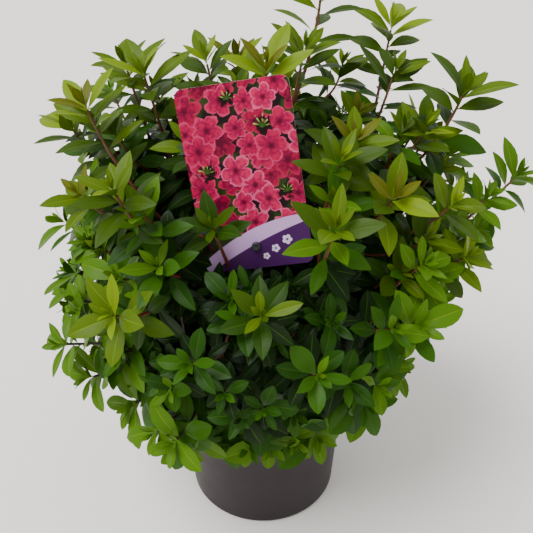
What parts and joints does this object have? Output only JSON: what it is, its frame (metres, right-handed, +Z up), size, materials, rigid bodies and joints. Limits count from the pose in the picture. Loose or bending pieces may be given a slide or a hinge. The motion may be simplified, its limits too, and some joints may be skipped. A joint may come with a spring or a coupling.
{
  "type": "potted azalea shrub",
  "caption": "Bushy evergreen azalea shrub in a round plastic nursery pot: short forked stem, boughs, upright leafy shoots and a a wordless picture label on a stake.",
  "frame": {"origin": "the middle of the pot's flat underside", "axes": "+Z up, -Y towards the front, where the picture label faces, +X to the right seen from the front"},
  "size_m": [0.4419, 0.4135, 0.5327],
  "materials": {
    "pot": "matte",
    "compost": "crumbly",
    "bark": "rough",
    "foliage": "satin",
    "card": "printed, glossy",
    "peg": "matte"
  },
  "bodies": {
    "root": {"pot": "pot", "compost": "compost", "trunk": "bark", "bough_crest": "bark", "bough_upper_1": "bark", "bough_upper_2": "bark", "bough_upper_3": "bark", "bough_upper_4": "bark", "bough_upper_5": "bark", "bough_middle_1": "bark", "bough_middle_2": "bark", "bough_middle_3": "bark", "bough_middle_4": "bark", "bough_middle_5": "bark", "bough_middle_6": "bark", "bough_middle_7": "bark", "bough_skirt_1": "bark", "bough_skirt_2": "bark", "bough_skirt_3": "bark", "bough_skirt_4": "bark", "bough_skirt_5": "bark", "bough_skirt_6": "bark", "foliage_crest": "foliage", "foliage_upper_1": "foliage", "foliage_upper_2": "foliage", "foliage_upper_3": "foliage", "foliage_upper_4": "foliage", "foliage_upper_5": "foliage", "foliage_middle_1": "foliage", "foliage_middle_2": "foliage", "foliage_middle_3": "foliage", "foliage_middle_4": "foliage", "foliage_middle_5": "foliage", "foliage_middle_6": "foliage", "foliage_middle_7": "foliage", "foliage_skirt_1": "foliage", "foliage_skirt_2": "foliage", "foliage_skirt_3": "foliage", "foliage_skirt_4": "foliage", "foliage_skirt_5": "foliage", "foliage_skirt_6": "foliage", "label_stake": "peg", "label_card": "card", "label_peg": "peg"}
  },
  "joints": []
}
